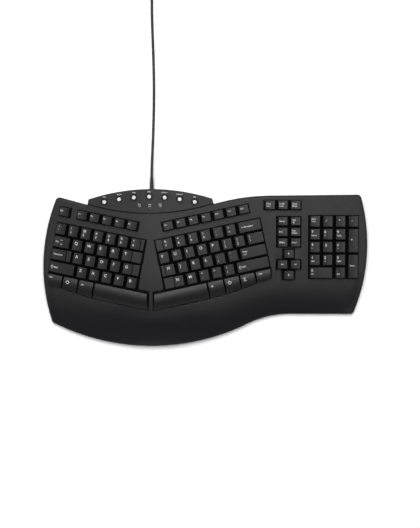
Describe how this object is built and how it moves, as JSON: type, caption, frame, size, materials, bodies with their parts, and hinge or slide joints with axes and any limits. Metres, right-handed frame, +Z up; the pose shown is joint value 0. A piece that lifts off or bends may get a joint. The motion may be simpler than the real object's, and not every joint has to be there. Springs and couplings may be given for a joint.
{
  "type": "ergonomic keyboard",
  "caption": "Tented split keyboard with a moulded palm rest, a number pad, round hotkeys on a raised pod, folding tilt legs and a coiled cord with its plug.",
  "frame": {"origin": "on the desk, under the middle of the keyboard's own box, without its cord", "axes": "+X along the keyboard to the typist's right, +Y to the back where the cord leaves, +Z up"},
  "size_m": [0.4843, 0.5882, 0.0482],
  "materials": {
    "case_plastic": "fine-grained dark grey moulding",
    "base_plastic": "fine-grained black moulding",
    "panel_plastic": "satin dark grey moulding",
    "frame_plastic": "plain black moulding",
    "key_plastic": "fine-grained black caps with white legends",
    "hotkey_plastic": "satin white caps",
    "dome_rubber": "milky silicone rubber",
    "film": "clear film with printed tracks",
    "plate_steel": "galvanised sheet",
    "board": "solder mask over glass fibre",
    "lens": "smoked moulded lenses, unlit",
    "screw_steel": "blackened steel",
    "foot_rubber": "soft black rubber",
    "cord_rubber": "satin black jacket",
    "tie_plastic": "black nylon tie",
    "plug_steel": "plated steel shell"
  },
  "bodies": {
    "housing": {"top_case": "case_plastic", "bottom_case": "base_plastic", "media_panel": "panel_plastic", "left_key_frame": "frame_plastic", "right_key_frame": "frame_plastic", "side_key_frame": "frame_plastic", "rubber_domes": "dome_rubber", "membranes": "film", "hotkey_strip": "film", "backing_plates": "plate_steel", "controller_board": "board", "indicator_lenses": "lens", "case_screws": "screw_steel", "rubber_feet": "foot_rubber", "strain_relief": "cord_rubber", "cord": "cord_rubber", "cord_coil": "cord_rubber", "plug_body": "cord_rubber", "cord_tie": "tie_plastic", "plug_shell": "plug_steel"},
    "escape_key": {"escape_key": "key_plastic"},
    "left_function_keys": {"left_function_keys": "key_plastic"},
    "left_number_keys": {"left_number_keys": "key_plastic"},
    "tab_key": {"tab_key": "key_plastic"},
    "left_upper_letter_keys": {"left_upper_letter_keys": "key_plastic"},
    "caps_lock_key": {"caps_lock_key": "key_plastic"},
    "left_home_letter_keys": {"left_home_letter_keys": "key_plastic"},
    "left_shift_key": {"left_shift_key": "key_plastic"},
    "left_lower_letter_keys": {"left_lower_letter_keys": "key_plastic"},
    "left_modifier_keys": {"left_modifier_keys": "key_plastic"},
    "left_space_key": {"left_space_key": "key_plastic"},
    "right_function_keys": {"right_function_keys": "key_plastic"},
    "right_number_keys": {"right_number_keys": "key_plastic"},
    "backspace_key": {"backspace_key": "key_plastic"},
    "right_upper_letter_keys": {"right_upper_letter_keys": "key_plastic"},
    "right_home_letter_keys": {"right_home_letter_keys": "key_plastic"},
    "enter_key": {"enter_key": "key_plastic"},
    "right_lower_letter_keys": {"right_lower_letter_keys": "key_plastic"},
    "right_shift_key": {"right_shift_key": "key_plastic"},
    "right_space_key": {"right_space_key": "key_plastic"},
    "right_modifier_keys": {"right_modifier_keys": "key_plastic"},
    "print_keys": {"print_keys": "key_plastic"},
    "navigation_keys": {"navigation_keys": "key_plastic"},
    "arrow_keys": {"arrow_keys": "key_plastic"},
    "pad_operator_keys": {"pad_operator_keys": "key_plastic"},
    "pad_upper_digit_keys": {"pad_upper_digit_keys": "key_plastic"},
    "pad_plus_key": {"pad_plus_key": "key_plastic"},
    "pad_middle_digit_keys": {"pad_middle_digit_keys": "key_plastic"},
    "pad_lower_digit_keys": {"pad_lower_digit_keys": "key_plastic"},
    "pad_enter_key": {"pad_enter_key": "key_plastic"},
    "pad_zero_key": {"pad_zero_key": "key_plastic"},
    "hotkey_1": {"hotkey_1": "hotkey_plastic"},
    "hotkey_2": {"hotkey_2": "hotkey_plastic"},
    "hotkey_3": {"hotkey_3": "hotkey_plastic"},
    "hotkey_4": {"hotkey_4": "hotkey_plastic"},
    "hotkey_5": {"hotkey_5": "hotkey_plastic"},
    "hotkey_6": {"hotkey_6": "hotkey_plastic"},
    "hotkey_7": {"hotkey_7": "hotkey_plastic"},
    "tilt_leg_left": {"tilt_leg_left": "base_plastic"},
    "tilt_leg_right": {"tilt_leg_right": "base_plastic"}
  },
  "joints": [
    {"name": "escape_key_press", "type": "slide", "parent": "housing", "child": "escape_key", "axis": [0.1131, 0.052, -0.9922], "range_m": [0, 0.0035], "stiffness_N_per_m": 150, "springref_m": -0.0005, "deforming": ["rubber_domes"]},
    {"name": "left_function_keys_press", "type": "slide", "parent": "housing", "child": "left_function_keys", "axis": [0.1131, 0.052, -0.9922], "range_m": [0, 0.0035], "stiffness_N_per_m": 750, "springref_m": -0.0005, "deforming": ["rubber_domes"]},
    {"name": "left_number_keys_press", "type": "slide", "parent": "housing", "child": "left_number_keys", "axis": [0.1131, 0.052, -0.9922], "range_m": [0, 0.0035], "stiffness_N_per_m": 1050, "springref_m": -0.0005, "deforming": ["rubber_domes"]},
    {"name": "tab_key_press", "type": "slide", "parent": "housing", "child": "tab_key", "axis": [0.1131, 0.052, -0.9922], "range_m": [0, 0.0035], "stiffness_N_per_m": 150, "springref_m": -0.0005, "deforming": ["rubber_domes"]},
    {"name": "left_upper_letter_keys_press", "type": "slide", "parent": "housing", "child": "left_upper_letter_keys", "axis": [0.1131, 0.052, -0.9922], "range_m": [0, 0.0035], "stiffness_N_per_m": 750, "springref_m": -0.0005, "deforming": ["rubber_domes"]},
    {"name": "caps_lock_key_press", "type": "slide", "parent": "housing", "child": "caps_lock_key", "axis": [0.1131, 0.052, -0.9922], "range_m": [0, 0.0035], "stiffness_N_per_m": 150, "springref_m": -0.0005, "deforming": ["rubber_domes"]},
    {"name": "left_home_letter_keys_press", "type": "slide", "parent": "housing", "child": "left_home_letter_keys", "axis": [0.1131, 0.052, -0.9922], "range_m": [0, 0.0035], "stiffness_N_per_m": 750, "springref_m": -0.0005, "deforming": ["rubber_domes"]},
    {"name": "left_shift_key_press", "type": "slide", "parent": "housing", "child": "left_shift_key", "axis": [0.1131, 0.052, -0.9922], "range_m": [0, 0.0035], "stiffness_N_per_m": 150, "springref_m": -0.0005, "deforming": ["rubber_domes"]},
    {"name": "left_lower_letter_keys_press", "type": "slide", "parent": "housing", "child": "left_lower_letter_keys", "axis": [0.1131, 0.052, -0.9922], "range_m": [0, 0.0035], "stiffness_N_per_m": 750, "springref_m": -0.0005, "deforming": ["rubber_domes"]},
    {"name": "left_modifier_keys_press", "type": "slide", "parent": "housing", "child": "left_modifier_keys", "axis": [0.1131, 0.052, -0.9922], "range_m": [0, 0.0035], "stiffness_N_per_m": 450, "springref_m": -0.0005, "deforming": ["rubber_domes"]},
    {"name": "left_space_key_press", "type": "slide", "parent": "housing", "child": "left_space_key", "axis": [0.1131, 0.052, -0.9922], "range_m": [0, 0.0035], "stiffness_N_per_m": 150, "springref_m": -0.0005, "deforming": ["rubber_domes"]},
    {"name": "right_function_keys_press", "type": "slide", "parent": "housing", "child": "right_function_keys", "axis": [-0.0784, 0.0522, -0.9956], "range_m": [0, 0.0035], "stiffness_N_per_m": 1050, "springref_m": -0.0005, "deforming": ["rubber_domes"]},
    {"name": "right_number_keys_press", "type": "slide", "parent": "housing", "child": "right_number_keys", "axis": [-0.0784, 0.0522, -0.9956], "range_m": [0, 0.0035], "stiffness_N_per_m": 900, "springref_m": -0.0005, "deforming": ["rubber_domes"]},
    {"name": "backspace_key_press", "type": "slide", "parent": "housing", "child": "backspace_key", "axis": [-0.0784, 0.0522, -0.9956], "range_m": [0, 0.0035], "stiffness_N_per_m": 150, "springref_m": -0.0005, "deforming": ["rubber_domes"]},
    {"name": "right_upper_letter_keys_press", "type": "slide", "parent": "housing", "child": "right_upper_letter_keys", "axis": [-0.0784, 0.0522, -0.9956], "range_m": [0, 0.0035], "stiffness_N_per_m": 1200, "springref_m": -0.0005, "deforming": ["rubber_domes"]},
    {"name": "right_home_letter_keys_press", "type": "slide", "parent": "housing", "child": "right_home_letter_keys", "axis": [-0.0784, 0.0522, -0.9956], "range_m": [0, 0.0035], "stiffness_N_per_m": 900, "springref_m": -0.0005, "deforming": ["rubber_domes"]},
    {"name": "enter_key_press", "type": "slide", "parent": "housing", "child": "enter_key", "axis": [-0.0784, 0.0522, -0.9956], "range_m": [0, 0.0035], "stiffness_N_per_m": 150, "springref_m": -0.0005, "deforming": ["rubber_domes"]},
    {"name": "right_lower_letter_keys_press", "type": "slide", "parent": "housing", "child": "right_lower_letter_keys", "axis": [-0.0784, 0.0522, -0.9956], "range_m": [0, 0.0035], "stiffness_N_per_m": 750, "springref_m": -0.0005, "deforming": ["rubber_domes"]},
    {"name": "right_shift_key_press", "type": "slide", "parent": "housing", "child": "right_shift_key", "axis": [-0.0784, 0.0522, -0.9956], "range_m": [0, 0.0035], "stiffness_N_per_m": 150, "springref_m": -0.0005, "deforming": ["rubber_domes"]},
    {"name": "right_space_key_press", "type": "slide", "parent": "housing", "child": "right_space_key", "axis": [-0.0784, 0.0522, -0.9956], "range_m": [0, 0.0035], "stiffness_N_per_m": 150, "springref_m": -0.0005, "deforming": ["rubber_domes"]},
    {"name": "right_modifier_keys_press", "type": "slide", "parent": "housing", "child": "right_modifier_keys", "axis": [-0.0784, 0.0522, -0.9956], "range_m": [0, 0.0035], "stiffness_N_per_m": 600, "springref_m": -0.0005, "deforming": ["rubber_domes"]},
    {"name": "print_keys_press", "type": "slide", "parent": "housing", "child": "print_keys", "axis": [-0.0436, 0.0523, -0.9977], "range_m": [0, 0.0035], "stiffness_N_per_m": 450, "springref_m": -0.0005, "deforming": ["rubber_domes"]},
    {"name": "navigation_keys_press", "type": "slide", "parent": "housing", "child": "navigation_keys", "axis": [-0.0436, 0.0523, -0.9977], "range_m": [0, 0.0035], "stiffness_N_per_m": 900, "springref_m": -0.0005, "deforming": ["rubber_domes"]},
    {"name": "arrow_keys_press", "type": "slide", "parent": "housing", "child": "arrow_keys", "axis": [-0.0436, 0.0523, -0.9977], "range_m": [0, 0.0035], "stiffness_N_per_m": 600, "springref_m": -0.0005, "deforming": ["rubber_domes"]},
    {"name": "pad_operator_keys_press", "type": "slide", "parent": "housing", "child": "pad_operator_keys", "axis": [-0.0436, 0.0523, -0.9977], "range_m": [0, 0.0035], "stiffness_N_per_m": 600, "springref_m": -0.0005, "deforming": ["rubber_domes"]},
    {"name": "pad_upper_digit_keys_press", "type": "slide", "parent": "housing", "child": "pad_upper_digit_keys", "axis": [-0.0436, 0.0523, -0.9977], "range_m": [0, 0.0035], "stiffness_N_per_m": 450, "springref_m": -0.0005, "deforming": ["rubber_domes"]},
    {"name": "pad_plus_key_press", "type": "slide", "parent": "housing", "child": "pad_plus_key", "axis": [-0.0436, 0.0523, -0.9977], "range_m": [0, 0.0035], "stiffness_N_per_m": 150, "springref_m": -0.0005, "deforming": ["rubber_domes"]},
    {"name": "pad_middle_digit_keys_press", "type": "slide", "parent": "housing", "child": "pad_middle_digit_keys", "axis": [-0.0436, 0.0523, -0.9977], "range_m": [0, 0.0035], "stiffness_N_per_m": 450, "springref_m": -0.0005, "deforming": ["rubber_domes"]},
    {"name": "pad_lower_digit_keys_press", "type": "slide", "parent": "housing", "child": "pad_lower_digit_keys", "axis": [-0.0436, 0.0523, -0.9977], "range_m": [0, 0.0035], "stiffness_N_per_m": 600, "springref_m": -0.0005, "deforming": ["rubber_domes"]},
    {"name": "pad_enter_key_press", "type": "slide", "parent": "housing", "child": "pad_enter_key", "axis": [-0.0436, 0.0523, -0.9977], "range_m": [0, 0.0035], "stiffness_N_per_m": 150, "springref_m": -0.0005, "deforming": ["rubber_domes"]},
    {"name": "pad_zero_key_press", "type": "slide", "parent": "housing", "child": "pad_zero_key", "axis": [-0.0436, 0.0523, -0.9977], "range_m": [0, 0.0035], "stiffness_N_per_m": 150, "springref_m": -0.0005, "deforming": ["rubber_domes"]},
    {"name": "hotkey_1_press", "type": "slide", "parent": "housing", "child": "hotkey_1", "axis": [0.1131, 0.052, -0.9922], "range_m": [0, 0.001], "stiffness_N_per_m": 300, "springref_m": -0.0004},
    {"name": "hotkey_2_press", "type": "slide", "parent": "housing", "child": "hotkey_2", "axis": [0.1131, 0.052, -0.9922], "range_m": [0, 0.001], "stiffness_N_per_m": 300, "springref_m": -0.0004},
    {"name": "hotkey_3_press", "type": "slide", "parent": "housing", "child": "hotkey_3", "axis": [0.1131, 0.052, -0.9922], "range_m": [0, 0.001], "stiffness_N_per_m": 300, "springref_m": -0.0004},
    {"name": "hotkey_4_press", "type": "slide", "parent": "housing", "child": "hotkey_4", "axis": [0.0413, 0.0523, -0.9978], "range_m": [0, 0.001], "stiffness_N_per_m": 300, "springref_m": -0.0004},
    {"name": "hotkey_5_press", "type": "slide", "parent": "housing", "child": "hotkey_5", "axis": [-0.0487, 0.0523, -0.9974], "range_m": [0, 0.001], "stiffness_N_per_m": 300, "springref_m": -0.0004},
    {"name": "hotkey_6_press", "type": "slide", "parent": "housing", "child": "hotkey_6", "axis": [-0.0784, 0.0522, -0.9956], "range_m": [0, 0.001], "stiffness_N_per_m": 300, "springref_m": -0.0004},
    {"name": "hotkey_7_press", "type": "slide", "parent": "housing", "child": "hotkey_7", "axis": [-0.0784, 0.0522, -0.9956], "range_m": [0, 0.001], "stiffness_N_per_m": 300, "springref_m": -0.0004},
    {"name": "tilt_leg_left_fold", "type": "hinge", "parent": "housing", "child": "tilt_leg_left", "pos_m": [-0.192, 0.086, 0.0047], "axis": [1, 0, 0], "range_deg": [0, 95]},
    {"name": "tilt_leg_right_fold", "type": "hinge", "parent": "housing", "child": "tilt_leg_right", "pos_m": [0.202, 0.086, 0.0047], "axis": [1, 0, 0], "range_deg": [0, 95]}
  ]
}
